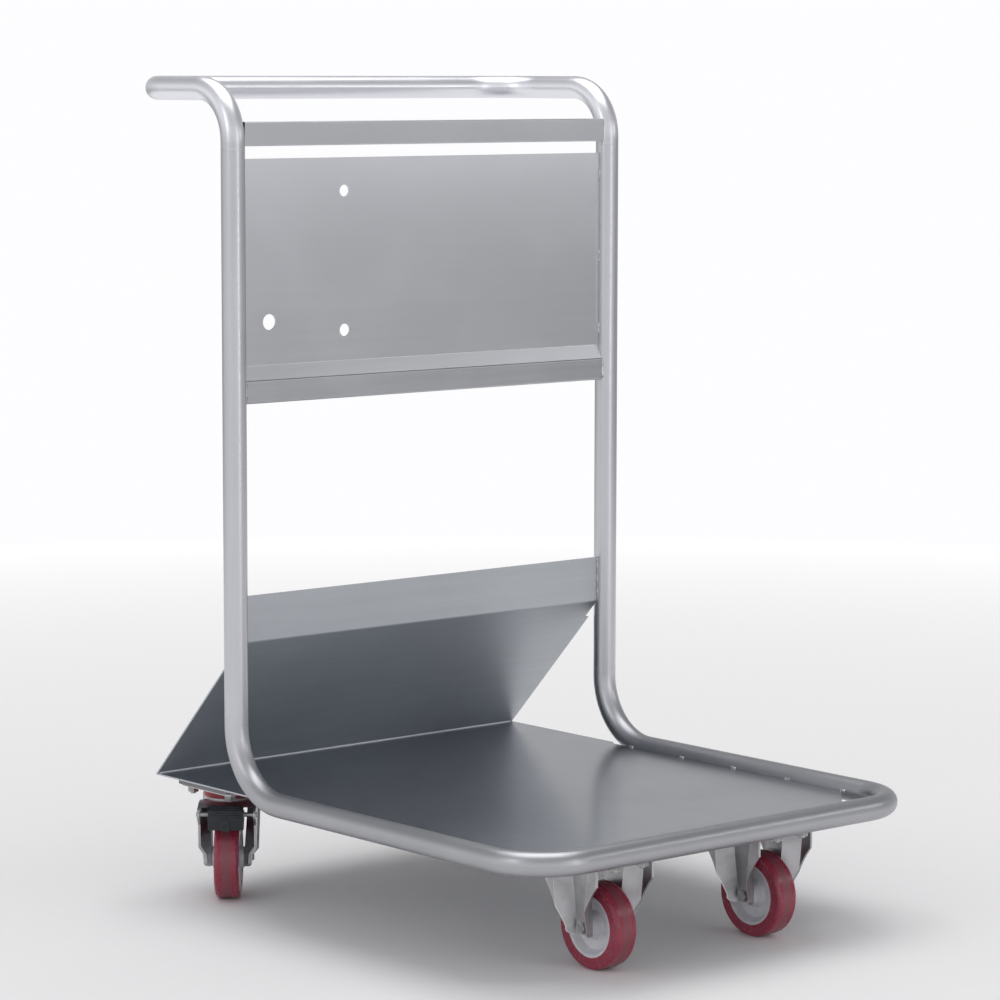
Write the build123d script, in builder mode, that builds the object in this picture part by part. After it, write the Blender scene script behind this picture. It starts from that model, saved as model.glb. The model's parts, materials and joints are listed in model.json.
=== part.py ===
from build123d import *
import os

# Stainless steel luggage cart: a bent round tube loop, a sheet deck, a folded kick panel behind it,
# a drilled back panel, two fixed casters at the front and two braked swivel casters at the rear.
# Millimetres, +Z up. The origin is on the floor, under the middle of the overall width and depth.
# The deck's free end points to -Y and the handle end to +Y.

# ------------------------------------------------ driving dimensions: tube frame
tube_d = 30.0
tube_wall = 1.5
upright_spacing = 620.0  # between the axes of the two uprights
deck_run = 570.0  # from the uprights' axes to the front rail's axis
handle_height = 1040.0  # from the floor to the handle bar's axis
handle_setback = 208.0  # from the uprights' axes back to the handle bar's axis
handle_corner_r = 71.0
top_bend_r = 65.0
bottom_bend_r = 89.0
front_corner_r = 74.0
butt_straight = 10.0  # straight tube left between a bend and its butt weld

# driving dimensions: bars and panels between the uprights
bar_depth = 15.0
bar_wall = 1.5
top_bar_h = 30.0
top_bar_drop = 41.0  # from the handle bar's axis down to the top bar's upper face
middle_bar_h = 29.0
middle_bar_top = 679.0
panel_gauge = 2.0
panel_gap = 15.5  # open slot between the top bar and the back panel
panel_lip_h = 18.0  # slanted lip between the flat panel and the middle bar
panel_lip_out = 6.0
hole_low_d = 16.0
hole_high_d = 15.0
hole_side_d = 20.0
hole_pair_x = -137.0
hole_pair_drop = 42.0  # panel top to the upper small hole
hole_pair_pitch = 176.0
hole_side_x = -256.0
hole_side_drop = 203.0
cope_gap = 0.05  # room between a sheet or bar end and the tube it is welded to

# driving dimensions: deck, kick panel and caster channels
deck_gauge = 2.0
deck_overhang = 187.0  # from the uprights' axes back to the deck's rear edge
deck_rear_w = 604.0
deck_notch_y = 28.0  # ahead of the uprights' axes, where the deck widens to deck_rear_w
deck_corner_cut = 90.0
strip_h = 59.0
strip_bottom = 350.0
kick_notch_run = 26.0  # sloping length that stays narrow enough to pass between the uprights
channel_h = 15.0
channel_gauge = 2.5
front_channel_l = 400.0
front_channel_w = 126.0
rear_channel_l = 540.0
rear_channel_w = 106.0
vent_w = 16.0
vent_h = 5.0

# driving dimensions: casters
wheel_d = 105.0
tread_w = 32.0
tread_inner_r = 38.0
rim_w = 30.0
rim_wall = 5.0
ridge_w = 18.0
ridge_r = 44.0
web_w = 9.0
boss_r = 14.0
boss_round = 1.0
hub_draft = 1.0
head_room = 36.0  # from the top of the wheel to the caster's mounting face
fork_gauge = 3.0
fork_gap = 42.0  # between the inner faces of the legs at the axle
side_play = 0.5
running_gap = 0.05
front_wheel_x = 133.0
front_wheel_inset = 88.0  # from the front rail's axis back to the front axles
front_leg_spread = 92.0  # over the outer faces of the legs' side strips
front_leg_w = 94.0
front_web_top = 32.0  # from the caster's mid-plane to the rib's floor, at the top of the leg
front_rib_w = 28.0
front_flank_w = 66.0  # over the two flanks, at the top of the leg
front_shoulder = 30.0  # from the mounting face down to where the leg starts to narrow
leg_waist = 56.0  # width of the leg where its curved edge is half way down
eye_w = 37.0
eye_flank_w = 48.0
eye_drop = 9.5  # from the axle down to the leg's lower edge
eye_corner_r = 6.0
rib_low_w = 24.0
rib_foot = 8.0  # from the axle up to where the rib starts to lean out
front_plate_l = 126.0
front_bolt_x = 44.0
front_bolt_y = 106.0
swivel_x = 224.0
swivel_back = 132.0  # from the uprights' axes back to the kingpins
trail = 32.0
swivel_heading = -40.5  # how far both rear casters are turned at rest, about +Z
rear_leg_spread = 75.0
rear_leg_w = 68.0
rear_web_top = 27.0
rear_rib_w = 26.0
rear_flank_w = 50.0
crown_nose = 6.0  # how much further the crown reaches towards the brake
crown_skirt = 14.0
rear_plate_w = 85.0
rear_plate_l = 105.0
rear_plate_gauge = 2.5
plate_corner_r = 8.0
rear_bolt_x = 60.0
rear_bolt_y = 80.0
head_drop = 15.0  # from the mounting face down to the fork's crown
kingpin_d = 12.0
pin_head_h = 8.0
pin_gap = 0.3
ball_d = 7.0
ball_circle_r = 23.5
ball_count = 18
seal_r = 34.0
race_r = 33.0
race_h = 3.0

# driving dimensions: brake
pedal_w = 45.0
pedal_core_w = 40.0
pivot_back = 31.0  # from the wheel's axle, away from the kingpin
pivot_rise = 62.0  # above the wheel's axle
pivot_d = 6.0
pivot_wall = 2.0
pin_proud = 1.5
shoe_drop = 12.0  # from the pivot down to the middle of the brake shoe
arm_gap = 0.5
pedal_edge_r = 1.2
pedal_rise = 14.0  # above the pivot
pedal_drop = 17.0
pedal_reach = 25.0
pedal_gauge = 5.0
tab_w = 9.0  # tab in the middle of the pedal's lip
tab_proud = 2.0
spring_gauge = 0.8
spring_w = 14.0
lever_gauge = 2.0
shoe_size = 6.0

# driving dimensions: fasteners
bolt_d = 8.0
bolt_clear = 0.25
hex_af = 13.0
bolt_head_h = 5.3
nut_h = 6.5
washer_od = 16.0
washer_h = 1.6
bolt_tail = 2.5
sleeve_d = 12.0
bearing_od = 18.0
bearing_w = 12.0

# ------------------------------------------------ places worked out from them
tube_r = tube_d / 2
half_w = upright_spacing / 2
overall_depth = deck_run + handle_setback + tube_d
upright_y = overall_depth / 2 - handle_setback - tube_r
front_y = upright_y - deck_run
handle_y = upright_y + handle_setback

wheel_r = wheel_d / 2
mount_z = wheel_d + head_room
deck_bottom = mount_z + channel_h
deck_top = deck_bottom + deck_gauge
rail_z = deck_top
base_top = rail_z + bottom_bend_r + butt_straight
handle_base = handle_height - top_bend_r - butt_straight

inner_half = half_w - tube_r
top_bar_z = handle_height - top_bar_drop - top_bar_h / 2
panel_top = handle_height - top_bar_drop - top_bar_h - panel_gap
deck_rear = upright_y + deck_overhang
front_axle_y = front_y + front_wheel_inset
swivel_y = upright_y + swivel_back

leg_out = fork_gap / 2 + fork_gauge
crown_top = mount_z - head_drop
crown_bottom = crown_top - fork_gauge
nut_top_front = mount_z - fork_gauge - washer_h
nut_top_rear = mount_z - rear_plate_gauge - washer_h
pivot_y = -trail - pivot_back
pivot_z = wheel_r + pivot_rise

sides = {"left": -1, "right": 1}
os.makedirs("parts", exist_ok=True)


def write(block, label):
    """Labels a finished piece and writes its STEP file."""
    block.part.label = label
    export_step(block.part, f"parts/{label}.step")


def write_at(block, label, stations):
    """Writes a copy of a finished piece at each station, as one node."""
    with BuildPart() as placed:
        with Locations(*stations):
            add(block.part)
    write(placed, label)


# ------------------------------------------------ tube frame
def bent_rod(corners, radii, outer_r, bore_r=0.0):
    """Round rod, or tube if it has a bore, along straight runs joined by bends."""
    with BuildPart() as rod:
        with BuildLine() as path:
            FilletPolyline(*corners, radius=radii)
        with BuildSketch(Plane(origin=path.line @ 0, z_dir=path.line % 0)):
            Circle(outer_r)
            if bore_r > 0:
                Circle(bore_r, mode=Mode.SUBTRACT)
        sweep()
    return rod


handle_route = [
    (-half_w, upright_y, handle_base),
    (-half_w, upright_y, handle_height),
    (-half_w, handle_y, handle_height),
    (half_w, handle_y, handle_height),
    (half_w, upright_y, handle_height),
    (half_w, upright_y, handle_base),
]
handle_bends = [top_bend_r, handle_corner_r, handle_corner_r, top_bend_r]
handle_tube = bent_rod(handle_route, handle_bends, tube_r, tube_r - tube_wall)
write(handle_tube, "handle_tube")

base_route = [
    (-half_w, upright_y, base_top),
    (-half_w, upright_y, rail_z),
    (-half_w, front_y, rail_z),
    (half_w, front_y, rail_z),
    (half_w, upright_y, rail_z),
    (half_w, upright_y, base_top),
]
base_bends = [bottom_bend_r, front_corner_r, front_corner_r, bottom_bend_r]
base_tube = bent_rod(base_route, base_bends, tube_r, tube_r - tube_wall)
write(base_tube, "base_tube")

for side, sign in sides.items():
    with BuildPart() as upright:
        with BuildSketch(Plane.XY.offset(base_top)):
            with Locations((sign * half_w, upright_y)):
                Circle(tube_r)
                Circle(tube_r - tube_wall, mode=Mode.SUBTRACT)
        extrude(amount=handle_base - base_top)
    write(upright, f"{side}_upright")


# ------------------------------------------------ bars and panels between the uprights
def cope_for_uprights(bottom, height):
    """Cuts both ends of what lies between the uprights to the tubes' round faces."""
    with BuildSketch(Plane.XY.offset(bottom)) as cope:
        with Locations((-half_w, upright_y), (half_w, upright_y)):
            Circle(tube_r + cope_gap)
    extrude(cope.sketch, amount=height, mode=Mode.SUBTRACT)


def cross_bar(middle_z, height):
    """Rectangular tube welded between the uprights."""
    with BuildPart() as bar:
        with BuildSketch(Plane.YZ.offset(-half_w)):
            with Locations((upright_y, middle_z)):
                RectangleRounded(bar_depth, height, 2)
                RectangleRounded(bar_depth - 2 * bar_wall, height - 2 * bar_wall, 0.5, mode=Mode.SUBTRACT)
        extrude(amount=upright_spacing)
        cope_for_uprights(middle_z - height, 2 * height)
    return bar


# The top bar lies where the uprights start to bend back, so its ends follow the handle tube.
handle_core = bent_rod(handle_route, handle_bends, tube_r + cope_gap)
with BuildPart() as top_bar:
    add(cross_bar(top_bar_z, top_bar_h).part)
    add(handle_core.part, mode=Mode.SUBTRACT)
write(top_bar, "top_bar")

middle_bar = cross_bar(middle_bar_top - middle_bar_h / 2, middle_bar_h)
write(middle_bar, "middle_bar")

with BuildPart() as back_panel:
    lip_top = middle_bar_top + panel_lip_h
    with BuildSketch(Plane.YZ.offset(-half_w)):
        with BuildLine():
            FilletPolyline(
                (upright_y, panel_top),
                (upright_y, lip_top),
                (upright_y - panel_lip_out * 1.2, lip_top - panel_lip_h * 1.2),
                radius=2 * panel_gauge,
            )
        trace(line_width=panel_gauge)
    extrude(amount=upright_spacing)
    with BuildSketch(Plane.XY.offset(middle_bar_top + cope_gap)):
        with Locations((0, upright_y)):
            Rectangle(2 * upright_spacing, 4 * bar_depth)
    extrude(amount=-panel_lip_h, mode=Mode.SUBTRACT)
    cope_for_uprights(middle_bar_top, panel_top)
    for hole_x, drop, hole_d in (
        (hole_pair_x, hole_pair_drop, hole_high_d),
        (hole_pair_x, hole_pair_drop + hole_pair_pitch, hole_low_d),
        (hole_side_x, hole_side_drop, hole_side_d),
    ):
        with BuildSketch(Plane.XZ.offset(-upright_y)):
            with Locations((hole_x, panel_top - drop)):
                Circle(hole_d / 2)
        extrude(amount=bar_depth, both=True, mode=Mode.SUBTRACT)
write(back_panel, "back_panel")

# ------------------------------------------------ deck and kick panel
with BuildPart() as deck_plate:
    deck_front = front_y + tube_r + cope_gap
    deck_step = upright_y - deck_notch_y
    deck_side = inner_half - cope_gap
    with BuildSketch(Plane.XY.offset(deck_bottom)):
        with BuildLine():
            Polyline(
                (0, deck_front),
                (deck_side - deck_corner_cut, deck_front),
                (deck_side, deck_front + deck_corner_cut),
                (deck_side, deck_step),
                (deck_rear_w / 2, deck_step),
                (deck_rear_w / 2, deck_rear),
                (0, deck_rear),
            )
            mirror(about=Plane.YZ)
        make_face()
    extrude(amount=deck_gauge)
write(deck_plate, "deck_plate")

with BuildPart() as kick_panel:
    kick_foot = deck_rear - panel_gauge
    fall = (kick_foot - upright_y) / (strip_bottom - deck_top)
    below = 2 * panel_gauge
    with BuildSketch(Plane.YZ.offset(-deck_rear_w / 2)):
        with BuildLine():
            FilletPolyline(
                (upright_y, strip_bottom + strip_h),
                (upright_y, strip_bottom),
                (kick_foot + below * fall, deck_top - below),
                radius=2 * panel_gauge,
            )
        trace(line_width=panel_gauge)
    extrude(amount=deck_rear_w)
    with BuildSketch(Plane.XY.offset(deck_top)):
        with Locations((0, deck_rear)):
            Rectangle(2 * upright_spacing, 2 * tube_d)
    extrude(amount=-2 * below, mode=Mode.SUBTRACT)
    with BuildSketch(Plane.XY.offset(strip_bottom - kick_notch_run)):
        with Locations((-half_w, upright_y), (half_w, upright_y)):
            Rectangle(2 * (tube_r + cope_gap), 2 * kick_notch_run)
    extrude(amount=strip_h + 2 * kick_notch_run, mode=Mode.SUBTRACT)
write(kick_panel, "kick_panel")


# ------------------------------------------------ caster channels and their bolts
def bolt_stations(xs, middle_y, pitch_x, pitch_y, z):
    """Places of the four bolts of each caster whose middle is at one of xs."""
    return [
        Location((x + i * pitch_x / 2, middle_y + j * pitch_y / 2, z))
        for x in xs
        for i in (-1, 1)
        for j in (-1, 1)
    ]


def channel(middle_y, length, width, bolt_xy):
    """Folded tray, open towards the deck, that carries one pair of casters."""
    with BuildPart() as tray:
        with BuildSketch(Plane.XY.offset(mount_z)):
            with Locations((0, middle_y)):
                RectangleRounded(length, width, 2 * channel_gauge)
        extrude(amount=channel_h)
        with BuildSketch(Plane.XY.offset(mount_z + channel_gauge)):
            with Locations((0, middle_y)):
                RectangleRounded(length - 2 * channel_gauge, width - 2 * channel_gauge, channel_gauge)
        extrude(amount=channel_h, mode=Mode.SUBTRACT)
        with BuildSketch(Plane.YZ):
            with Locations((middle_y - width / 4, deck_bottom), (middle_y + width / 4, deck_bottom)):
                Rectangle(vent_w, 2 * vent_h)
        extrude(amount=length, both=True, mode=Mode.SUBTRACT)
        with BuildSketch(Plane.XY.offset(mount_z)):
            with Locations(*bolt_xy):
                Circle(bolt_d / 2 + bolt_clear)
        extrude(amount=channel_gauge, mode=Mode.SUBTRACT)
    return tray


front_xs = (-front_wheel_x, front_wheel_x)
rear_xs = (-swivel_x, swivel_x)
front_bolts = bolt_stations(front_xs, front_axle_y, front_bolt_x, front_bolt_y, 0)
rear_bolts = bolt_stations(rear_xs, swivel_y, rear_bolt_x, rear_bolt_y, 0)
front_channel = channel(front_axle_y, front_channel_l, front_channel_w, front_bolts)
rear_channel = channel(swivel_y, rear_channel_l, rear_channel_w, rear_bolts)
write(front_channel, "front_channel")
write(rear_channel, "rear_channel")


def hexagon(across_flats):
    """Hexagon of a given size across its flats, in the current sketch."""
    RegularPolygon(across_flats / 2, 6, major_radius=False)


def mount_bolt(plate_gauge):
    """Bolt that hangs from the channel's floor, with its head inside the channel."""
    tail_z = mount_z - plate_gauge - washer_h - nut_h - bolt_tail
    with BuildPart() as bolt:
        with BuildSketch(Plane.XY.offset(mount_z + channel_gauge)):
            hexagon(hex_af)
        extrude(amount=bolt_head_h)
        with BuildSketch(Plane.XY.offset(tail_z)):
            Circle(bolt_d / 2)
        extrude(amount=mount_z + channel_gauge - tail_z)
        chamfer(bolt.faces().sort_by(Axis.Z)[0].edges(), length=bolt_d / 10)
    return bolt


def mount_ring(outline_of, top_z, height):
    """Nut or washer on a mounting bolt, hanging from top_z."""
    with BuildPart() as ring:
        with BuildSketch(Plane.XY.offset(top_z - height)):
            outline_of()
            Circle(bolt_d / 2 + cope_gap, mode=Mode.SUBTRACT)
        extrude(amount=height)
    return ring


def nut_outline():
    hexagon(hex_af)


def washer_outline():
    Circle(washer_od / 2)


def join(pieces, label):
    """Writes several groups of identical fasteners as one node."""
    with BuildPart() as group:
        for block, stations in pieces:
            with Locations(*stations):
                add(block.part)
    write(group, label)


join(
    [
        (mount_bolt(fork_gauge), front_bolts),
        (mount_bolt(rear_plate_gauge), rear_bolts),
    ],
    "caster_bolts",
)
join(
    [
        (mount_ring(nut_outline, nut_top_front, nut_h), front_bolts),
        (mount_ring(nut_outline, nut_top_rear, nut_h), rear_bolts),
    ],
    "caster_nuts",
)
join(
    [
        (mount_ring(washer_outline, nut_top_front + washer_h, washer_h), front_bolts),
        (mount_ring(washer_outline, nut_top_rear + washer_h, washer_h), rear_bolts),
    ],
    "caster_washers",
)

# ------------------------------------------------ wheel, about an axle along X at its centre
hub_half = fork_gap / 2 - side_play
hub_bore = bearing_od / 2 + cope_gap

with BuildPart() as tread:
    with BuildSketch(Plane.XY):
        with Locations((0, (tread_inner_r + wheel_r) / 2)):
            tyre = Rectangle(tread_w, wheel_r - tread_inner_r)
        fillet(tyre.vertices().group_by(Axis.Y)[-1], radius=tread_w / 7)
        with Locations((0, (tread_inner_r + ridge_r) / 2)):
            Rectangle(ridge_w, ridge_r - tread_inner_r, mode=Mode.SUBTRACT)
    revolve(axis=Axis.X)

with BuildPart() as hub:
    rim_r = tread_inner_r - cope_gap
    rim_inner_r = rim_r - rim_wall
    ridge_half = ridge_w / 2 - cope_gap
    with BuildSketch(Plane.XY):
        with BuildLine():
            Polyline(
                (0, hub_bore),
                (hub_half, hub_bore),
                (hub_half, boss_r - boss_round),
                (hub_half - boss_round, boss_r),
                (web_w / 2 + 4 * hub_draft, boss_r + hub_draft),
                (web_w / 2, boss_r + 4 * hub_draft),
                (web_w / 2 + hub_draft, rim_inner_r - 3 * hub_draft),
                (rim_w / 2 - hub_draft, rim_inner_r + hub_draft),
                (rim_w / 2, rim_inner_r + 2 * hub_draft),
                (rim_w / 2, rim_r),
                (ridge_half, rim_r),
                (ridge_half, ridge_r - cope_gap),
                (0, ridge_r - cope_gap),
            )
            mirror(about=Plane.YZ)
        make_face()
    revolve(axis=Axis.X)

with BuildPart() as bearings:
    with BuildSketch(Plane.YZ):
        Circle(bearing_od / 2)
        Circle(sleeve_d / 2 + running_gap, mode=Mode.SUBTRACT)
    extrude(amount=hub_half, both=True)
    with BuildSketch(Plane.YZ):
        Circle(bearing_od)
    extrude(amount=hub_half - bearing_w, both=True, mode=Mode.SUBTRACT)

with BuildPart() as axle_sleeve:
    with BuildSketch(Plane.YZ):
        Circle(sleeve_d / 2)
        Circle(bolt_d / 2 + bolt_clear, mode=Mode.SUBTRACT)
    extrude(amount=fork_gap / 2, both=True)

with BuildPart() as axle_bolt:
    with BuildSketch(Plane.YZ.offset(-leg_out - bolt_head_h)):
        hexagon(hex_af)
    extrude(amount=bolt_head_h)
    with BuildSketch(Plane.YZ.offset(-leg_out)):
        Circle(bolt_d / 2)
    extrude(amount=2 * leg_out + nut_h + bolt_tail)
    chamfer(axle_bolt.faces().sort_by(Axis.X)[-1].edges(), length=bolt_d / 10)

with BuildPart() as axle_nut:
    with BuildSketch(Plane.YZ.offset(leg_out)):
        hexagon(hex_af)
        Circle(bolt_d / 2 + cope_gap, mode=Mode.SUBTRACT)
    extrude(amount=nut_h)

# ------------------------------------------------ pressed legs, shared by both kinds of caster
eye_bottom = wheel_r - eye_drop
rib_foot_z = wheel_r + rib_foot
reach = 2 * front_plate_l


def leg_plan(z, middle_y, web_x, rib_w, flank_w, side_x, inset):
    """Plan of a pair of legs at one height: a rib floor near the wheel, flanks and outer side strips."""
    with BuildSketch(Plane((0, middle_y, z))) as plan:
        with BuildLine():
            Polyline(
                (0, -reach),
                (side_x, -reach),
                (side_x, -flank_w / 2),
                (web_x, -rib_w / 2),
                (web_x, rib_w / 2),
                (side_x, flank_w / 2),
                (side_x, reach),
                (0, reach),
            )
            mirror(about=Plane.YZ)
        make_face()
        if inset > 0:
            offset(amount=-inset, kind=Kind.INTERSECTION)
    return plan.sketch


def leg_body(axle_y, head_z, web_top, rib_w, flank_w, side_x, inset):
    """Block whose sides are the legs' outer faces, or their inner faces if it is inset."""
    low = (axle_y, leg_out, rib_low_w, eye_flank_w, side_x, inset)
    high = (0, web_top, rib_w, flank_w, side_x, inset)
    with BuildPart() as body:
        loft([leg_plan(eye_bottom, *low), leg_plan(rib_foot_z, *low)], ruled=True)
        loft([leg_plan(rib_foot_z, *low), leg_plan(head_z, *high)], ruled=True)
    return body.part


# ------------------------------------------------ fixed caster bracket, about the axle's plumb line
with BuildPart() as fixed_bracket:
    leg_sizes = (front_web_top, front_rib_w, front_flank_w, front_leg_spread / 2)
    add(leg_body(0, mount_z, *leg_sizes, 0))
    add(leg_body(0, mount_z - fork_gauge, *leg_sizes, fork_gauge), mode=Mode.SUBTRACT)
    shoulder_z = mount_z - front_shoulder
    waist_z = (shoulder_z + wheel_r) / 2
    with BuildSketch(Plane.YZ) as side_view:
        with BuildLine():
            Polyline(
                (0, mount_z),
                (front_plate_l / 2, mount_z),
                (front_plate_l / 2, mount_z - fork_gauge),
                (front_leg_w / 2, mount_z - fork_gauge),
                (front_leg_w / 2, shoulder_z),
            )
            ThreePointArc((front_leg_w / 2, shoulder_z), (leg_waist / 2, waist_z), (eye_w / 2, wheel_r))
            Polyline((eye_w / 2, wheel_r), (eye_w / 2, eye_bottom), (0, eye_bottom))
            mirror(about=Plane.YZ)
        make_face()
        fillet(side_view.vertices().group_by(Axis.Y)[0], radius=eye_corner_r)
    extrude(amount=front_leg_spread, both=True, mode=Mode.INTERSECT)
    with BuildSketch(Plane.XY.offset(mount_z)):
        with GridLocations(front_bolt_x, front_bolt_y, 2, 2):
            Circle(bolt_d / 2 + bolt_clear)
    extrude(amount=-2 * fork_gauge, mode=Mode.SUBTRACT)
    with BuildSketch(Plane.YZ):
        with Locations((0, wheel_r)):
            Circle(bolt_d / 2 + bolt_clear)
    extrude(amount=front_leg_spread, both=True, mode=Mode.SUBTRACT)

# ------------------------------------------------ swivel caster, about its kingpin
with BuildPart() as top_plate:
    with BuildSketch(Plane.XY.offset(mount_z - rear_plate_gauge)):
        RectangleRounded(rear_plate_w, rear_plate_l, plate_corner_r)
    extrude(amount=rear_plate_gauge)
    race_bottom = crown_top + race_h + ball_d * 0.6
    ball_z = crown_top + race_h + ball_d / 2 + 0.3
    with BuildSketch(Plane.XY.offset(race_bottom)):
        Circle(ball_circle_r + ball_d / 2 + 0.5)
        Circle(ball_circle_r - ball_d / 2 - 0.5, mode=Mode.SUBTRACT)
    extrude(amount=mount_z - rear_plate_gauge - race_bottom)
    with BuildSketch(Plane.XZ):
        with Locations((ball_circle_r, ball_z)):
            Circle(ball_d / 2 + running_gap)
    revolve(axis=Axis.Z, mode=Mode.SUBTRACT)
    with BuildSketch(Plane.XY.offset(mount_z)):
        with GridLocations(rear_bolt_x, rear_bolt_y, 2, 2):
            Circle(bolt_d / 2 + bolt_clear)
        Circle(kingpin_d / 2 + cope_gap)
    extrude(amount=-rear_plate_gauge, mode=Mode.SUBTRACT)

with BuildPart() as kingpin:
    with BuildSketch(Plane.XY.offset(crown_bottom - pin_gap - pin_head_h)):
        hexagon(1.6 * kingpin_d)
    extrude(amount=pin_head_h)
    with BuildSketch(Plane.XY.offset(crown_bottom - pin_gap)):
        Circle(kingpin_d / 2)
    extrude(amount=mount_z - pin_gap - crown_bottom)

with BuildPart() as swivel_balls:
    with Locations(Plane.XY.offset(ball_z)):
        with PolarLocations(ball_circle_r, ball_count):
            Sphere(ball_d / 2)

with BuildPart() as dust_seal:
    with BuildSketch(Plane.XY.offset(crown_top + race_h)):
        Circle(seal_r)
        Circle(ball_circle_r + ball_d / 2 + 1.5, mode=Mode.SUBTRACT)
    extrude(amount=mount_z - rear_plate_gauge - 0.3 - crown_top - race_h)

with BuildPart() as fork:
    leg_sizes = (rear_web_top, rear_rib_w, rear_flank_w, rear_leg_spread / 2)
    add(leg_body(-trail, crown_top, *leg_sizes, 0))
    add(leg_body(-trail, crown_bottom, *leg_sizes, fork_gauge), mode=Mode.SUBTRACT)
    ear_r = pivot_d + pivot_wall
    skirt_z = crown_top - crown_skirt
    with BuildSketch(Plane.YZ) as side_view:
        with BuildLine():
            Polyline(
                (rear_leg_w / 2, crown_top),
                (rear_leg_w / 2, skirt_z),
                (-trail + eye_w / 2, wheel_r),
                (-trail + eye_w / 2, eye_bottom),
                (-trail - eye_w / 2, eye_bottom),
                (-trail - eye_w / 2, wheel_r),
                (pivot_y + ear_r, pivot_z - 2 * ear_r),
                (pivot_y, pivot_z - ear_r),
                (pivot_y, pivot_z + ear_r),
                (-rear_leg_w / 2 - crown_nose, crown_top),
                close=True,
            )
        make_face()
        fillet(side_view.vertices().group_by(Axis.Y)[0], radius=eye_corner_r)
        with Locations((pivot_y, pivot_z)):
            Circle(ear_r)
    extrude(amount=rear_leg_spread, both=True, mode=Mode.INTERSECT)
    with BuildSketch(Plane.XY.offset(crown_top)):
        Circle(race_r)
    extrude(amount=race_h)
    fillet(fork.faces().sort_by(Axis.Z)[-1].edges(), radius=race_h / 2)
    with BuildSketch(Plane.XY.offset(mount_z)):
        Circle(kingpin_d / 2 + running_gap)
    extrude(amount=-2 * head_drop, mode=Mode.SUBTRACT)
    with BuildSketch(Plane.YZ):
        with Locations((-trail, wheel_r)):
            Circle(bolt_d / 2 + bolt_clear)
        with Locations((pivot_y, pivot_z)):
            Circle(pivot_d / 2 + cope_gap)
    extrude(amount=rear_leg_spread, both=True, mode=Mode.SUBTRACT)

# ------------------------------------------------ wheel brake
with BuildPart() as pedal_pin:
    pin_half = rear_leg_spread / 2 + pin_proud
    with BuildSketch(Plane.YZ):
        with Locations((pivot_y, pivot_z)):
            Circle(pivot_d / 2)
    extrude(amount=pin_half, both=True)

lever_x = pedal_core_w / 2 + arm_gap
shoe_y = pivot_y - shoe_size
shoe_z = pivot_z - shoe_drop

with BuildPart() as brake_lever:
    with BuildSketch(Plane.YZ):
        with BuildLine():
            Polyline(
                (pivot_y - pivot_d, pivot_z),
                (shoe_y - shoe_size / 2, shoe_z),
                (shoe_y - shoe_size / 4, shoe_z - shoe_size),
                (shoe_y + shoe_size / 2, shoe_z - shoe_size),
                (shoe_y + shoe_size / 2, shoe_z),
                (pivot_y + pivot_d, pivot_z),
                close=True,
            )
        make_face()
        with Locations((pivot_y, pivot_z)):
            Circle(pivot_d)
            Circle(pivot_d / 2 + running_gap, mode=Mode.SUBTRACT)
    extrude(amount=lever_x + lever_gauge, both=True)
    with BuildSketch(Plane.YZ):
        with Locations((pivot_y, pivot_z)):
            Rectangle(wheel_d, wheel_d)
        with Locations((shoe_y, shoe_z)):
            Rectangle(shoe_size, shoe_size, mode=Mode.SUBTRACT)
    extrude(amount=lever_x, both=True, mode=Mode.SUBTRACT)

pedal_top = pivot_z + pedal_rise
pedal_low = pivot_z - pedal_drop
pedal_end = pivot_y - pedal_reach
pedal_inner = pedal_end + 2 * pedal_gauge
lip_outline = [
    (pivot_y - 2 * pivot_d, pedal_top),
    (pedal_end + pedal_gauge, pedal_top - pedal_gauge),
    (pedal_end, pivot_z - pedal_gauge / 2),
    (pedal_end + pedal_gauge, pedal_low),
    (pedal_inner, pedal_low),
    (pedal_inner, pivot_z - pivot_d),
]
body_outline = [
    (pivot_y + pivot_d, pivot_z - pivot_d),
    (pivot_y + pivot_d, pivot_z + pivot_d / 2),
    (pivot_y, pedal_top - pedal_gauge / 2),
]
tab_outline = [
    (pedal_end, pivot_z),
    (pedal_end - tab_proud, pivot_z - pedal_gauge),
    (pedal_end + pedal_gauge - tab_proud, pedal_low - tab_proud),
    (pedal_inner, pedal_low),
    (pedal_inner, pivot_z - pivot_d),
]
lip_root = (pivot_y - 2 * pivot_d, pedal_top - 1.5 * pedal_gauge)

with BuildPart() as brake_pedal:
    for outline, width in (
        (body_outline + lip_outline, pedal_core_w),
        (lip_outline + [lip_root], pedal_w),
        (tab_outline, tab_w),
    ):
        with BuildSketch(Plane.YZ) as pedal_side:
            with BuildLine():
                Polyline(*outline, close=True)
            make_face()
            fillet(pedal_side.vertices(), radius=pedal_edge_r)
        extrude(amount=width / 2, both=True)
    with BuildSketch(Plane.YZ):
        with Locations((pivot_y, pivot_z)):
            Circle(pivot_d / 2 + running_gap)
    extrude(amount=pedal_w, both=True, mode=Mode.SUBTRACT)

with BuildPart() as brake_spring:
    with BuildSketch(Plane.YZ):
        with BuildLine():
            FilletPolyline(
                (-kingpin_d - 2 * pin_gap, crown_bottom - spring_gauge / 2),
                (-rear_leg_w / 2, crown_bottom - spring_gauge / 2),
                (pivot_y + 2 * pivot_d, pivot_z + pivot_d / 2),
                radius=pivot_d / 2,
            )
        trace(line_width=spring_gauge)
    extrude(amount=spring_w / 2, both=True)

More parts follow.
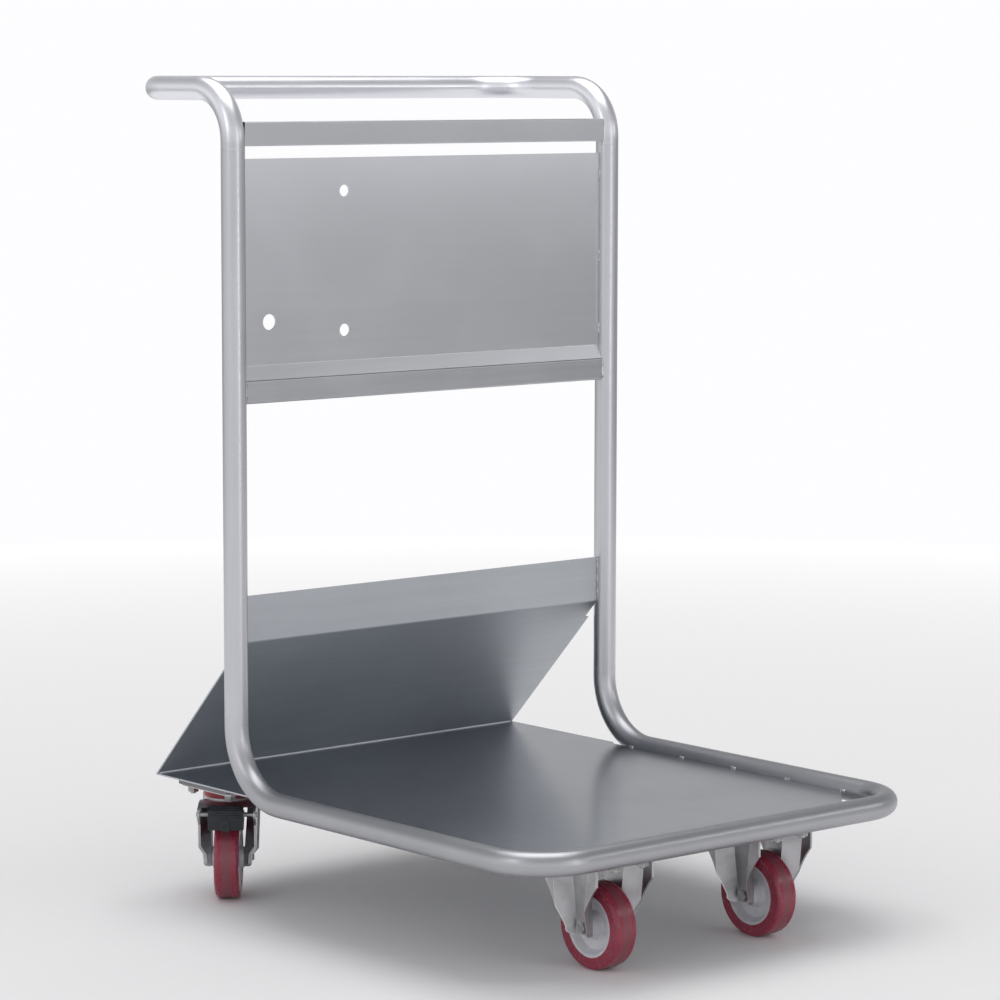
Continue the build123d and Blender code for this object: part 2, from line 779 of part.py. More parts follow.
# ------------------------------------------------ the four casters in their places
for side, sign in sides.items():
    axle = Location((sign * front_wheel_x, front_axle_y, wheel_r))
    plumb = Location((sign * front_wheel_x, front_axle_y, 0))
    write_at(fixed_bracket, f"front_{side}_bracket", [plumb])
    for block, name in (
        (tread, "tread"),
        (hub, "hub"),
        (bearings, "bearings"),
        (axle_sleeve, "axle_sleeve"),
        (axle_bolt, "axle_bolt"),
        (axle_nut, "axle_nut"),
    ):
        write_at(block, f"front_{side}_{name}", [axle])

    post = Location((sign * swivel_x, swivel_y, 0))
    turned = post * Location((0, 0, 0), (0, 0, swivel_heading))
    turned_axle = turned * Location((0, -trail, wheel_r))
    write_at(top_plate, f"rear_{side}_top_plate", [post])
    write_at(kingpin, f"rear_{side}_kingpin", [post])
    write_at(swivel_balls, f"rear_{side}_swivel_balls", [post])
    for block, name in (
        (dust_seal, "dust_seal"),
        (fork, "fork"),
        (pedal_pin, "pedal_pin"),
        (brake_lever, "brake_lever"),
        (brake_pedal, "brake_pedal"),
        (brake_spring, "brake_spring"),
    ):
        write_at(block, f"rear_{side}_{name}", [turned])
    for block, name in (
        (tread, "tread"),
        (hub, "hub"),
        (bearings, "bearings"),
        (axle_sleeve, "axle_sleeve"),
        (axle_bolt, "axle_bolt"),
        (axle_nut, "axle_nut"),
    ):
        write_at(block, f"rear_{side}_{name}", [turned_axle])
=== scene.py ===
import json
import math

import bmesh
import bpy
from mathutils import Matrix, Vector, noise


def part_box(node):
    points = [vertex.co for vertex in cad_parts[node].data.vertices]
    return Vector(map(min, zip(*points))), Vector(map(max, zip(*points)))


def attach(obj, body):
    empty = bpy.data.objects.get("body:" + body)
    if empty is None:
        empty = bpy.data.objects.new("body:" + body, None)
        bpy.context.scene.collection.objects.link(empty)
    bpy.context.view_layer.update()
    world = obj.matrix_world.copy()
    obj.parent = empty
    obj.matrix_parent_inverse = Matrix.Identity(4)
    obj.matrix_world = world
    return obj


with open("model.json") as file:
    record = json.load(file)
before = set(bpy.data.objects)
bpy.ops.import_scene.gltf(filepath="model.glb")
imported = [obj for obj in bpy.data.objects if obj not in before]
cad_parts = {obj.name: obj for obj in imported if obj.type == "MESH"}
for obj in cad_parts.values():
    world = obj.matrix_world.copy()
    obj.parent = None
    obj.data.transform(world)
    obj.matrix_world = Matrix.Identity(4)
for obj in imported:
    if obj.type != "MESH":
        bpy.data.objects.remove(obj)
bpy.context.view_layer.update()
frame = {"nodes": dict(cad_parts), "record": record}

# ---------------------------------------------------------------- sizes read from the frame, in metres
post_lo, post_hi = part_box("right_upright")
panel_lo, panel_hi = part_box("back_panel")
bar_lo, bar_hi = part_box("middle_bar")
kick_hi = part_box("kick_panel")[1]
TUBE_R = (post_hi.x - post_lo.x) / 2
POST_X = (post_hi.x + post_lo.x) / 2
POST_Y = (post_hi.y + post_lo.y) / 2
INNER_X = POST_X - TUBE_R
FRONT_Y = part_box("base_tube")[0].y + TUBE_R
DECK_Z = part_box("deck_plate")[1].z
TOP_BAR_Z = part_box("top_bar")[0].z
PANEL_MIDDLE = (panel_lo.z + panel_hi.z) / 2


# ---------------------------------------------------------------- node helpers
# Cosines between the real normal and the rounded one, where edge wear starts and where it is full.
FLAT_DOT = 0.995
EDGE_DOT = 0.9


class Shader:
    """A small wrapper that adds nodes to one material and links them."""

    def __init__(self, name):
        self.material = bpy.data.materials.new(name)
        self.material.use_nodes = True
        self.tree = self.material.node_tree
        self.tree.nodes.clear()
        self.out = self.tree.nodes.new("ShaderNodeOutputMaterial")
        self.bsdf = self.tree.nodes.new("ShaderNodeBsdfPrincipled")
        self.tree.links.new(self.bsdf.outputs[0], self.out.inputs[0])
        self.where = self.tree.nodes.new("ShaderNodeTexCoord").outputs["Object"]
        self.relief = None

    def node(self, kind, **settings):
        made = self.tree.nodes.new(kind)
        for key, value in settings.items():
            setattr(made, key, value)
        return made

    def feed(self, socket, value):
        if isinstance(value, bpy.types.NodeSocket):
            self.tree.links.new(value, socket)
        else:
            socket.default_value = value

    def stretched(self, scale):
        """Object coordinates multiplied by a scale for each axis."""
        mapping = self.node("ShaderNodeMapping")
        self.feed(mapping.inputs["Vector"], self.where)
        mapping.inputs["Scale"].default_value = scale
        return mapping.outputs[0]

    def noise(self, scale, stretch=(1, 1, 1), detail=4.0, rough=0.55, warp=0.0):
        made = self.node("ShaderNodeTexNoise")
        self.feed(made.inputs["Vector"], self.stretched(stretch))
        made.inputs["Scale"].default_value = scale
        made.inputs["Detail"].default_value = detail
        made.inputs["Roughness"].default_value = rough
        made.inputs["Distortion"].default_value = warp
        return made.outputs["Fac"]

    def spread(self, value, low, high, to_low=0.0, to_high=1.0):
        made = self.node("ShaderNodeMapRange")
        self.feed(made.inputs[0], value)
        for index, number in enumerate((low, high, to_low, to_high), start=1):
            made.inputs[index].default_value = number
        return made.outputs[0]

    def math(self, operation, a, b=0.0, clamp=False):
        made = self.node("ShaderNodeMath", operation=operation, use_clamp=clamp)
        self.feed(made.inputs[0], a)
        self.feed(made.inputs[1], b)
        return made.outputs[0]

    def weigh(self, a, share, b):
        """The given share of a, and the rest of b."""
        return self.math("ADD", self.math("MULTIPLY", a, share), self.math("MULTIPLY", b, 1 - share))

    def mix(self, factor, a, b):
        made = self.node("ShaderNodeMix", data_type="RGBA")
        self.feed(made.inputs[0], factor)
        self.feed(made.inputs[6], a)
        self.feed(made.inputs[7], b)
        return made.outputs[2]

    def part(self, axis):
        """One coordinate of the surface point, 0 for x, 1 for y and 2 for z."""
        made = self.node("ShaderNodeSeparateXYZ")
        self.feed(made.inputs[0], self.where)
        return made.outputs[axis]

    def bump(self, height, strength, distance):
        """Adds relief on top of any relief that the material has already."""
        made = self.node("ShaderNodeBump")
        made.inputs["Strength"].default_value = strength
        made.inputs["Distance"].default_value = distance
        self.feed(made.inputs["Height"], height)
        if self.relief is not None:
            self.feed(made.inputs["Normal"], self.relief)
        self.relief = made.outputs[0]
        self.feed(self.bsdf.inputs["Normal"], self.relief)

    def off_plane(self, centre, axis):
        """Distance of the surface point from the plane through centre that is square to axis."""
        away = self.node("ShaderNodeVectorMath", operation="SUBTRACT")
        self.feed(away.inputs[0], self.where)
        away.inputs[1].default_value = centre
        dot = self.node("ShaderNodeVectorMath", operation="DOT_PRODUCT")
        self.feed(dot.inputs[0], away.outputs[0])
        dot.inputs[1].default_value = axis
        return self.math("ABSOLUTE", dot.outputs["Value"])

    def edge_wear(self, radius):
        """Near 1 on edges and corners, and 0 on flat stretches."""
        bevel = self.node("ShaderNodeBevel", samples=4)
        bevel.inputs[0].default_value = radius
        geometry = self.node("ShaderNodeNewGeometry")
        dot = self.node("ShaderNodeVectorMath", operation="DOT_PRODUCT")
        self.feed(dot.inputs[0], bevel.outputs[0])
        self.feed(dot.inputs[1], geometry.outputs["Normal"])
        return self.spread(dot.outputs["Value"], FLAT_DOT, EDGE_DOT)

    def set(self, **sockets):
        for name, value in sockets.items():
            self.feed(self.bsdf.inputs[name.replace("_", " ")], value)
        return self.material


def grey(value, blue=1.0, red=1.0):
    """Grey whose blue and red are scaled by the given amounts."""
    return (value * red, value * 0.995, value * blue, 1)


# ---------------------------------------------------------------- materials
# Blue and red, as shares of grey. A sheet that mostly mirrors its shaded surroundings is bluer.
STEEL_TINT = (1.045, 0.985)
SHADE_TINT = (1.055, 0.955)
GRAIN_SCALE = 900
STREAK_SCALE = 140
GRAIN_RELIEF = 0.0004


def brushed(
    name,
    tone,
    rough,
    along,
    contrast=0.10,
    smear=0.05,
    grain_depth=0.10,
    tint=STEEL_TINT,
    bow=None,
    fade=None,
):
    """Satin stainless steel whose grain runs along the axis that has a small number in along.

    bow is (height of the sheet's middle, curvature): a thin sheet is never quite flat. fade is
    (height, height, tone): the tone changes from the first height to the second, which paints
    light or shade that changes with height.
    """
    s = Shader(name)
    grain = s.noise(GRAIN_SCALE, along, detail=3.0, rough=0.7)
    streak = s.noise(STREAK_SCALE, along, detail=4.0, rough=0.6)
    cloud = s.noise(4.0, detail=4.0, rough=0.5, warp=0.3)
    smudge = s.spread(s.noise(7.0, detail=5.0, rough=0.6, warp=0.5), 0.45, 0.8)
    dark = grey(tone * (1 - contrast), *tint)
    light = grey(tone * (1 + contrast * 0.6), *tint)
    colour = s.mix(s.spread(s.weigh(cloud, 0.6, streak), 0.35, 0.65), dark, light)
    # Painted light and shade: the tone moves towards another tone with height.
    if fade:
        low, high, other = fade
        colour = s.mix(s.spread(s.part(2), low, high), colour, grey(other, *tint))
    if bow:
        middle, curve = bow
        rise = s.math("SUBTRACT", s.part(2), middle)
        s.bump(s.math("MULTIPLY", s.math("MULTIPLY", rise, rise), -curve), 1.0, 1.0)
    s.bump(s.weigh(grain, 0.6, streak), grain_depth, GRAIN_RELIEF)
    fuzz = s.math("ADD", s.math("MULTIPLY", grain, 0.06), s.math("MULTIPLY", smudge, smear))
    return s.set(
        Base_Color=colour,
        Metallic=1.0,
        Roughness=s.math("ADD", fuzz, rough - 0.03),
    )


# Scales of the grain along x, y and z.
ALONG_X = (0.02, 1, 1)
ALONG_BAR = (0.03, 1, 1)
ALONG_CHANNEL = (0.05, 1, 1)
ALONG_Y = (1, 0.05, 1)
ALONG_Z = (1, 1, 0.03)
POLISHED_LOOP = (0.12, 0.12, 0.12)
POLISHED_BAR = (0.05, 0.12, 0.12)

# Each part's steel gets its own tone, from 0.21 on the channels to 0.90 at the top of the handle: lit
# and shaded copies of one satin steel, painted light and shade.
MATERIALS = {
    "tube_upright": brushed("tube_upright", 0.61, 0.32, ALONG_Z, contrast=0.06, grain_depth=0.04),
    # Painted shade: the rail's tone is set well below the uprights' and rises to 0.60 between heights
    # 0.18 and 0.26 m.
    "tube_rail": brushed(
        "tube_rail",
        0.45,
        0.37,
        POLISHED_LOOP,
        contrast=0.05,
        grain_depth=0.03,
        fade=(0.18, 0.26, 0.60),
    ),
    # Painted highlight: the tone rises to 0.90 between heights 0.97 and 1.03 m, over the top of the
    # handle.
    "tube_handle": brushed(
        "tube_handle",
        0.62,
        0.34,
        POLISHED_BAR,
        contrast=0.05,
        grain_depth=0.03,
        fade=(0.97, 1.03, 0.90),
    ),
    # Painted light: the top bar gets a lighter tone (0.59) than the middle bar (0.54).
    "bar": brushed("bar", 0.54, 0.30, ALONG_BAR, fade=(bar_hi.z, TOP_BAR_Z, 0.59)),
    # Painted reflection: the panel's tone rises from 0.57 at its bottom to 0.69 at its top, for the
    # brighter surroundings that its upper part reflects.
    "panel": brushed(
        "panel",
        0.57,
        0.30,
        ALONG_X,
        contrast=0.06,
        bow=(PANEL_MIDDLE, 0.10),
        fade=(panel_lo.z, panel_hi.z, 0.69),
    ),
    # Painted reflection: the kick panel and the deck get SHADE_TINT, a bluer colour for the shaded
    # surroundings they mirror, and tones set for that shade.
    "kick": brushed("kick", 0.54, 0.44, ALONG_X, contrast=0.08, tint=SHADE_TINT),
    "deck": brushed("deck", 0.50, 0.23, ALONG_Y, contrast=0.07, grain_depth=0.05, tint=SHADE_TINT),
    # Painted shade: the channels get a tone of 0.21, far below the steel's own, for the shade under
    # the deck.
    "channel": brushed("channel", 0.21, 0.42, ALONG_CHANNEL),
}


def zinc():
    """Zinc plate over pressed steel, with a fine spangle, upright draw marks and bright edges."""
    s = Shader("zinc")
    cells = s.node("ShaderNodeTexVoronoi")
    s.feed(cells.inputs["Vector"], s.where)
    cells.inputs["Scale"].default_value = 260
    spangle = s.spread(cells.outputs["Distance"], 0.0, 0.8)
    draw = s.noise(160, (1, 1, 0.08), detail=4.0)
    cloud = s.noise(22, detail=5.0, warp=0.6)
    colour = s.mix(s.spread(cloud, 0.35, 0.7), grey(0.35, 1.03), grey(0.54, 1.03))
    worn = s.mix(s.edge_wear(0.0012), colour, grey(0.78))
    rough = s.math("ADD", s.math("MULTIPLY", draw, 0.12), s.math("MULTIPLY", spangle, 0.04))
    s.bump(s.weigh(draw, 0.7, spangle), 0.14, 0.0005)
    return s.set(Base_Color=worn, Metallic=1.0, Roughness=s.math("ADD", rough, 0.30))


def fastener():
    """Zinc plated fastener with dull flats and bright corners."""
    s = Shader("fastener")
    cloud = s.noise(160, detail=4.0)
    colour = s.mix(s.spread(cloud, 0.35, 0.7), grey(0.24), grey(0.46, 0.98))
    worn = s.mix(s.edge_wear(0.0008), colour, grey(0.80))
    s.bump(cloud, 0.2, 0.0004)
    return s.set(Base_Color=worn, Metallic=1.0, Roughness=s.spread(cloud, 0.2, 0.8, 0.22, 0.45))


def weld():
    """Wire-brushed weld bead, bright with patches of dull heat tint."""
    s = Shader("weld")
    heat = s.noise(120, detail=4.0, warp=0.6)
    colour = s.mix(s.spread(heat, 0.4, 0.65), (0.34, 0.33, 0.33, 1), grey(0.74, 1.02))
    s.bump(s.noise(900, detail=2.0), 0.35, 0.0003)
    return s.set(Base_Color=colour, Metallic=1.0, Roughness=s.spread(heat, 0.3, 0.7, 0.42, 0.26))


def ground_steel():
    """Smooth ground bearing steel with a thin film of grease."""
    s = Shader("ground_steel")
    film = s.noise(90, detail=4.0)
    colour = s.mix(s.spread(film, 0.4, 0.7), grey(0.42, 0.95), grey(0.66))
    s.bump(film, 0.05, 0.0003)
    return s.set(Base_Color=colour, Metallic=1.0, Roughness=s.spread(film, 0.3, 0.7, 0.12, 0.3))


def red_tread(name, centre, axle):
    """Cast red polyurethane, scuffed, with dirt and a worn band round the middle of the tread."""
    s = Shader(name)
    cloud = s.noise(18, detail=5.0, warp=0.5)
    dust = s.spread(s.noise(60, detail=6.0, rough=0.7), 0.45, 0.75)
    scuff = s.spread(s.noise(240, detail=3.0, warp=0.4), 0.58, 0.75)
    band = s.spread(s.off_plane(centre, axle), 0.008, 0.003)
    body = s.mix(s.spread(cloud, 0.3, 0.7), (0.225, 0.016, 0.040, 1), (0.320, 0.030, 0.066, 1))
    dirt = s.math("ADD", s.math("MULTIPLY", dust, 0.22), s.math("MULTIPLY", band, 0.45), clamp=True)
    dusty = s.mix(dirt, body, (0.15, 0.075, 0.080, 1))
    fuzz = s.math("ADD", s.math("MULTIPLY", scuff, 0.16), s.math("MULTIPLY", dirt, 0.3))
    s.bump(s.math("ADD", scuff, s.math("MULTIPLY", dust, 0.5)), 0.10, 0.0005)
    return s.set(
        Base_Color=dusty,
        Roughness=s.math("ADD", fuzz, 0.24),
        Subsurface_Weight=0.06,
        Subsurface_Radius=(0.004, 0.001, 0.001),
        Coat_Weight=0.2,
        Coat_Roughness=0.22,
    )


def nylon_hub():
    """Moulded light grey nylon with a faint flow pattern and specks of grime."""
    s = Shader("nylon_hub")
    flow = s.noise(30, detail=4.0, warp=1.2)
    speck = s.spread(s.noise(420, detail=2.0), 0.6, 0.75)
    body = s.mix(s.spread(flow, 0.35, 0.7), (0.58, 0.58, 0.615, 1), (0.70, 0.70, 0.73, 1))
    dirty = s.mix(s.math("MULTIPLY", speck, 0.22), body, (0.36, 0.34, 0.34, 1))
    s.bump(s.math("ADD", flow, speck), 0.08, 0.0004)
    return s.set(
        Base_Color=dirty,
        Roughness=s.spread(flow, 0.3, 0.7, 0.34, 0.46),
        Subsurface_Weight=0.12,
        Subsurface_Radius=(0.003, 0.003, 0.003),
    )


def red_seal():
    """Moulded red plastic ring, a little faded."""
    s = Shader("red_seal")
    cloud = s.noise(60, detail=4.0)
    body = s.mix(s.spread(cloud, 0.35, 0.7), (0.30, 0.02, 0.035, 1), (0.42, 0.04, 0.06, 1))
    s.bump(cloud, 0.1, 0.0004)
    return s.set(Base_Color=body, Roughness=s.spread(cloud, 0.3, 0.7, 0.3, 0.42))


def black_pedal():
    """Moulded black nylon, grained, with lighter scuffs on its edges."""
    s = Shader("black_pedal")
    pebble = s.noise(1100, detail=2.0)
    cloud = s.noise(40, detail=5.0)
    body = s.mix(s.spread(cloud, 0.35, 0.7), (0.010, 0.014, 0.019, 1), (0.026, 0.031, 0.037, 1))
    worn = s.mix(s.math("MULTIPLY", s.edge_wear(0.0012), 0.5), body, (0.10, 0.105, 0.11, 1))
    s.bump(pebble, 0.25, 0.0003)
    return s.set(Base_Color=worn, Roughness=s.spread(cloud, 0.3, 0.7, 0.32, 0.46))


MATERIALS.update(
    zinc=zinc(),
    fastener=fastener(),
    weld=weld(),
    ground=ground_steel(),
    hub=nylon_hub(),
    seal=red_seal(),
    pedal=black_pedal(),
)

FINISHES = {
    "handle_tube": "tube_handle",
    "base_tube": "tube_rail",
    "left_upright": "tube_upright",
    "right_upright": "tube_upright",
    "top_bar": "bar",
    "middle_bar": "bar",
    "back_panel": "panel",
    "kick_panel": "kick",
    "deck_plate": "deck",
    "front_channel": "channel",
    "rear_channel": "channel",
    "caster_bolts": "fastener",
    "caster_nuts": "fastener",
    "caster_washers": "fastener",
}
ENDINGS = {
    "_bracket": "zinc",
    "_fork": "zinc",
    "_top_plate": "zinc",
    "_brake_lever": "zinc",
    "_axle_bolt": "fastener",
    "_axle_nut": "fastener",
    "_kingpin": "fastener",
    "_pedal_pin": "fastener",
    "_axle_sleeve": "ground",
    "_bearings": "ground",
    "_swivel_balls": "ground",
    "_brake_spring": "ground",
    "_hub": "hub",
    "_dust_seal": "seal",
    "_brake_pedal": "pedal",
}
JOINTS = {joint["name"]: joint for joint in frame["record"]["behaviour"]["joints"]}
for joint_name, joint in JOINTS.items():
    if joint_name.endswith("_roll"):
        wheel = joint_name[: -len("_roll")]
        MATERIALS[wheel + "_tread"] = red_tread(wheel + "_red", joint["pos_m"], joint["axis"])


def finish_of(node):
    """Name of the material that a CAD node gets: each tread has its own."""
    if node in MATERIALS:
        return node
    if node in FINISHES:
        return FINISHES[node]
    return next(finish for ending, finish in ENDINGS.items() if node.endswith(ending))


for node_name, cad in frame["nodes"].items():
    cad.data.materials.clear()
    cad.data.materials.append(MATERIALS[finish_of(node_name)])


# ---------------------------------------------------------------- welds and small mouldings
ROD_SIDES = 8
ROD_END = 0.35
RIPPLE_PITCH = 0.003
RIPPLE_NOISE = 300
UP = Vector((0, 0, 1))
FRONT = Vector((0, -1, 0))


def rod(name, points, radius, up, body, finish, ripple=0.0, closed=False):
    """Round bead along a line of points, rippled by a share of its radius. Open ends taper off."""
    mesh = bmesh.new()
    rings = []
    run = 0.0
    last = len(points) - 1
    for index, here in enumerate(points):
        before = points[index - 1] if closed else points[max(index - 1, 0)]
        after = points[(index + 1) % len(points)] if closed else points[min(index + 1, last)]
        ahead = (after - before).normalized()
        across = ahead.cross(up).normalized()
        rise = across.cross(ahead).normalized()
        run += (here - before).length if index else 0.0
        wave = math.sin(math.tau * run / RIPPLE_PITCH) + noise.noise(here * RIPPLE_NOISE)
        end = ROD_END if not closed and index in (0, last) else 1.0
        size = radius * (1 + ripple * wave) * end
        ring = []
        for side in range(ROD_SIDES):
            angle = math.tau * side / ROD_SIDES
            out = math.cos(angle) * across + math.sin(angle) * rise
            ring.append(mesh.verts.new(here + size * out))
        rings.append(ring)
    pairs = list(zip(rings, rings[1:])) + ([(rings[-1], rings[0])] if closed else [])
    for low, high in pairs:
        for side in range(ROD_SIDES):
            after = (side + 1) % ROD_SIDES
            mesh.faces.new((low[side], low[after], high[after], high[side]))
    if not closed:
        mesh.faces.new(rings[0][::-1])
        mesh.faces.new(rings[-1])
    bmesh.ops.recalc_face_normals(mesh, faces=mesh.faces)
    for face in mesh.faces:
        face.smooth = True
    data = bpy.data.meshes.new(name)
    mesh.to_mesh(data)
    mesh.free()
    data.materials.append(MATERIALS[finish])
    made = bpy.data.objects.new(name, data)
    bpy.context.scene.collection.objects.link(made)
    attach(made, body)


def line(start, end, step):
    """Evenly spaced points from start to end."""
    start, end = Vector(start), Vector(end)
    count = max(2, round((end - start).length / step))
    return [start.lerp(end, index / count) for index in range(count + 1)]


def circle(centre, radius, count=72):
    """Points of a level circle."""
    turn = math.tau / count
    x, y, z = centre
    return [
        Vector((x + radius * math.cos(turn * index), y + radius * math.sin(turn * index), z))
        for index in range(count)
    ]


def bead(name, start, end, radius, ripple, slot, up=FRONT, finish="weld", step=0.0011):
    """Straight weld bead on the frame."""
    rod(name, line(start, end, step), radius, up, "frame", finish, ripple=ripple)


BEAD_R = 0.0018  # stitches along the deck, and the bar's ends
TACK_R = 0.0014  # tacks of the sheets on the uprights
SEAM_R = 0.0013  # seam between the deck and the kick panel
RING_R = 0.0006  # ground butt welds round the uprights
STITCH = 0.009
STITCH_PITCH = 0.099
STITCH_FIRST_Y = POST_Y - 0.071  # middle of the rearmost stitch
STITCH_COUNT = 5
STITCH_PROUD = 0.0002
STITCH_RIPPLE = 0.16
FRONT_STITCH_X = (-0.21, -0.07, 0.07, 0.21)
BAR_WELD_IN = 0.0130  # from the uprights' axes in to the bar's welds
BAR_WELD_MARGIN = 0.003
BAR_RIPPLE = 0.12
TACK_HEIGHTS = (panel_lo.z + 0.04, PANEL_MIDDLE, panel_hi.z - 0.03)
TACK_HALF = 0.008
TACK_RIPPLE = 0.14
TACK_OFF_AXIS = 0.0004
SHEET_FACE_Y = POST_Y - 0.0012
STRIP_WELD = (kick_hi.z - 0.056, kick_hi.z - 0.002)
RING_SINK = 0.0004
RING_RIPPLE = 0.10
SEAM_Y = kick_hi.y - 0.0032
SEAM_PROUD = 0.0003
SEAM_X = kick_hi.x - 0.002

for side, sign in (("left", -1), ("right", 1)):
    for number in range(STITCH_COUNT):
        y = STITCH_FIRST_Y - number * STITCH_PITCH
        ends = [(sign * INNER_X, y + half * STITCH / 2, DECK_Z + STITCH_PROUD) for half in (-1, 1)]
        bead(f"weld_deck_{side}_{number}", *ends, BEAD_R, STITCH_RIPPLE, "tube_steel", up=UP)
    bar_x = sign * (POST_X - BAR_WELD_IN)
    for face, y in (("front", bar_lo.y), ("back", bar_hi.y)):
        ends = [(bar_x, y, z) for z in (bar_lo.z + BAR_WELD_MARGIN, bar_hi.z - BAR_WELD_MARGIN)]
        bead(f"weld_middle_{face}_{side}", *ends, BEAD_R, BAR_RIPPLE, "bar_steel")
    seat = sign * (INNER_X + TACK_OFF_AXIS)
    for tack, z in enumerate(TACK_HEIGHTS):
        ends = [(seat, SHEET_FACE_Y, z + half * TACK_HALF) for half in (-1, 1)]
        bead(f"weld_panel_{side}_{tack}", *ends, TACK_R, TACK_RIPPLE, "sheet_steel")
    ends = [(seat, SHEET_FACE_Y, z) for z in STRIP_WELD]
    bead(f"weld_strip_{side}", *ends, TACK_R, BAR_RIPPLE, "sheet_steel")
    for joint_name, z in (("low", post_lo.z), ("high", post_hi.z)):
        points = circle((sign * POST_X, POST_Y, z), TUBE_R - RING_SINK)
        name = f"weld_ring_{joint_name}_{side}"
        rod(name, points, RING_R, UP, "frame", "tube_upright", RING_RIPPLE, closed=True)

bead(
    "weld_kick_seam",
    *[(sign * SEAM_X, SEAM_Y, DECK_Z + SEAM_PROUD) for sign in (-1, 1)],
    SEAM_R,
    0.03,
    "sheet_steel",
    up=UP,
    finish="tube_upright",
    step=0.0014,
)
for number, x in enumerate(FRONT_STITCH_X):
    rail_y = FRONT_Y + TUBE_R
    ends = [(x + half * STITCH / 2, rail_y, DECK_Z + STITCH_PROUD) for half in (-1, 1)]
    bead(f"weld_deck_front_{number}", *ends, BEAD_R, STITCH_RIPPLE, "tube_steel", up=UP)

# Raised grip ridges across each brake pedal: distance out from the pivot and height above it.
PEDAL_RIDGES = ((0.0148, 0.0125), (0.0176, 0.0107), (0.0212, 0.0064), (0.0228, 0.0026))
RIDGE_HALF = 0.0195
RIDGE_R = 0.0009
RIDGE_STEP = 0.003
for side in ("left", "right"):
    press = JOINTS[f"rear_{side}_pedal_press"]
    pivot = Vector(press["pos_m"])
    across = Vector(press["axis"])
    outward = across.cross(UP)
    if outward.y > 0:
        outward.negate()
    for number, (out, rise) in enumerate(PEDAL_RIDGES):
        middle = pivot + out * outward + rise * UP
        half = RIDGE_HALF * across
        points = line(middle - half, middle + half, RIDGE_STEP)
        name = f"pedal_ridge_{side}_{number}"
        rod(name, points, RIDGE_R, UP, f"rear_{side}_pedal", "pedal")

# ---------------------------------------------------------------- camera
FOCAL_PX = 3691.3
IMAGE_PX = 1000
SENSOR = 36.0
VIEW_YAW = math.radians(40.426)
VIEW_PITCH = math.radians(6.635)
VIEW_ROLL = math.radians(-0.102)
VIEW_FROM = (-3.0161, -3.5038, 1.0622)
camera_data = bpy.data.cameras.new("camera")
camera_data.sensor_width = SENSOR
camera_data.lens = FOCAL_PX * SENSOR / IMAGE_PX
camera_data.clip_end = 100
camera = bpy.data.objects.new("camera", camera_data)
bpy.context.scene.collection.objects.link(camera)
camera.location = VIEW_FROM
turn = Matrix.Rotation(-VIEW_YAW, 4, "Z") @ Matrix.Rotation(math.pi / 2 - VIEW_PITCH, 4, "X")
camera.rotation_euler = (turn @ Matrix.Rotation(-VIEW_ROLL, 4, "Z")).to_euler()
bpy.context.scene.camera = camera

# ---------------------------------------------------------------- stage and light
WORLD_WHITE = 1.0
BRIGHT_SIDE = (-0.87, -0.49, 0.0)
DARK_SIDE = (0.78, -0.62, 0.0)


def studio_world():
    """White to the camera. To everything else, a soft dome that is greyer below and to one side."""
    world = bpy.data.worlds.new("studio")
    bpy.context.scene.world = world
    world.use_nodes = True
    tree = world.node_tree
    backdrop = tree.nodes["Background"]
    backdrop.inputs["Color"].default_value = (0.985, 0.985, 1.0, 1)
    coords = tree.nodes.new("ShaderNodeTexCoord").outputs["Generated"]

    def ramp(value, low, high, to_low, to_high):
        made = tree.nodes.new("ShaderNodeMapRange")
        made.interpolation_type = "SMOOTHSTEP"
        tree.links.new(value, made.inputs[0])
        for index, number in enumerate((low, high, to_low, to_high), start=1):
            made.inputs[index].default_value = number
        return made.outputs[0]

    def times(a, b):
        made = tree.nodes.new("ShaderNodeMath")
        made.operation = "MULTIPLY"
        tree.links.new(a, made.inputs[0])
        tree.links.new(b, made.inputs[1])
        return made.outputs[0]

    def towards(direction):
        made = tree.nodes.new("ShaderNodeVectorMath")
        made.operation = "DOT_PRODUCT"
        tree.links.new(coords, made.inputs[0])
        made.inputs[1].default_value = direction
        return made.outputs["Value"]

    height = towards((0, 0, 1))
    dome = times(ramp(height, -0.22, 0.10, 0.42, 0.86), ramp(height, 0.12, 0.6, 1.0, 0.58))
    sided = times(dome, ramp(towards(BRIGHT_SIDE), -0.50, 0.45, 0.68, 1.14))
    strength = times(sided, ramp(towards(DARK_SIDE), 0.80, 0.98, 1.0, 0.78))
    path = tree.nodes.new("ShaderNodeLightPath")
    choose = tree.nodes.new("ShaderNodeMix")
    choose.data_type = "FLOAT"
    choose.inputs[3].default_value = WORLD_WHITE
    tree.links.new(path.outputs["Is Camera Ray"], choose.inputs[0])
    tree.links.new(strength, choose.inputs[2])
    tree.links.new(choose.outputs[0], backdrop.inputs["Strength"])


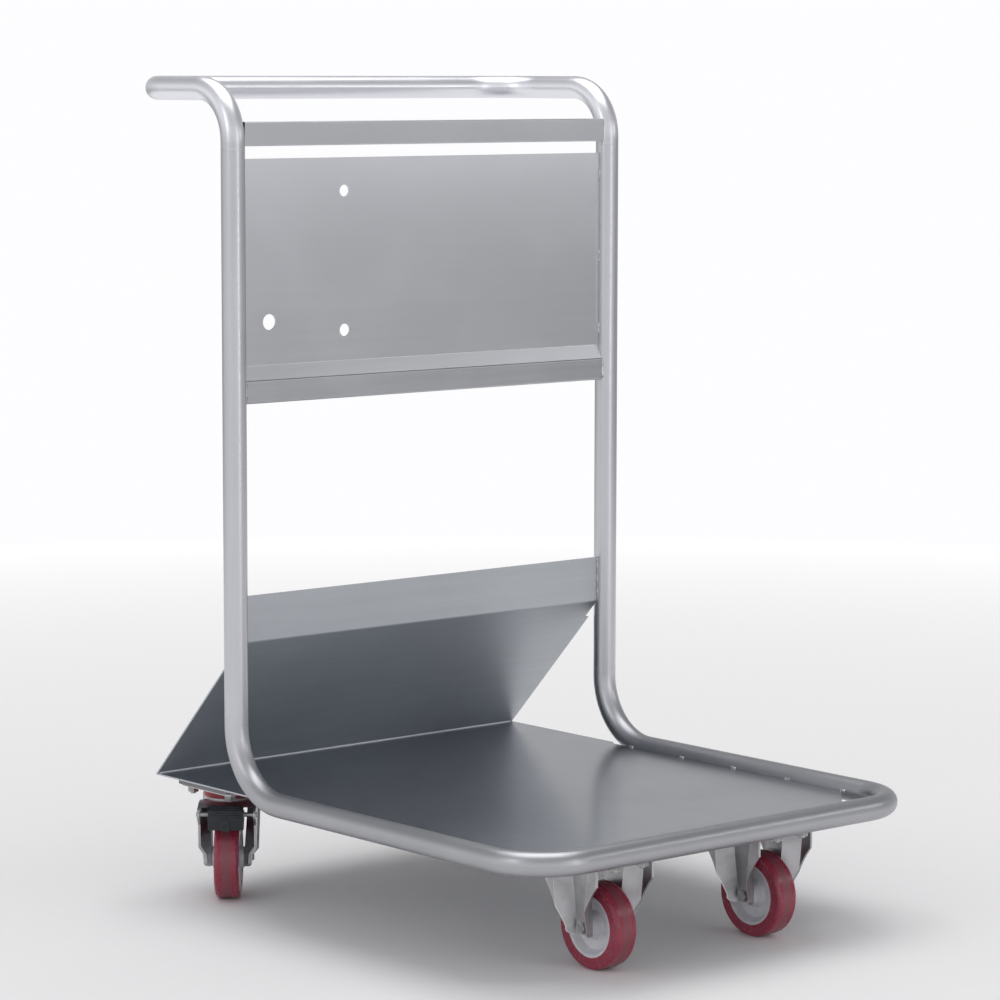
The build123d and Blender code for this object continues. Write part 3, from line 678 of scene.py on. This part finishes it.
def softbox(name, where, aim, size, radiance):
    """Rectangular light of a given brightness."""
    lamp = bpy.data.lights.new(name, "AREA")
    lamp.shape = "RECTANGLE"
    lamp.size, lamp.size_y = size
    lamp.energy = radiance * math.pi * size[0] * size[1]
    made = bpy.data.objects.new(name, lamp)
    bpy.context.scene.collection.objects.link(made)
    made.location = where
    made.rotation_euler = (Vector(aim) - Vector(where)).to_track_quat("-Z", "Y").to_euler()


studio_world()
softbox("top", (0.2, 0.3, 3.6), (0, 0, 0), (3.0, 3.0), 2.0)
softbox("high_front", (2.4, -2.2, 1.55), (0, 0, 1.0), (1.6, 0.4), 2.0)
softbox("strip", (0.62, -3.7, 1.0), (0, 0, 0.6), (0.36, 2.6), 2.6)
softbox("side", (-3.6, -0.4, 2.2), (0, 0, 0.5), (1.0, 2.0), 1.5)

FLOOR_RADIUS = 3.8
FADE_FROM = 0.7
FADE_TO = 0.95 * FLOOR_RADIUS


def make_floor():
    """Round pale floor that fades into the white surroundings."""
    s = Shader("floor")
    radius = s.node("ShaderNodeVectorMath", operation="LENGTH")
    s.feed(radius.inputs[0], s.where)
    fade = s.spread(radius.outputs["Value"], FADE_FROM, FADE_TO)
    fine = s.noise(40, detail=4.0)
    s.set(Base_Color=s.mix(fine, grey(0.93), grey(0.96)), Roughness=0.7)
    glow = s.node("ShaderNodeEmission")
    glow.inputs["Strength"].default_value = WORLD_WHITE
    blend = s.node("ShaderNodeMixShader")
    s.feed(blend.inputs[0], fade)
    s.feed(blend.inputs[1], s.bsdf.outputs[0])
    s.feed(blend.inputs[2], glow.outputs[0])
    s.feed(s.out.inputs[0], blend.outputs[0])
    mesh = bpy.data.meshes.new("floor")
    made = bpy.data.objects.new("floor", mesh)
    bpy.context.scene.collection.objects.link(made)
    disc = bmesh.new()
    bmesh.ops.create_circle(disc, cap_ends=True, segments=96, radius=FLOOR_RADIUS)
    disc.to_mesh(mesh)
    disc.free()
    mesh.materials.append(s.material)


make_floor()
bpy.context.scene.view_settings.view_transform = "Standard"
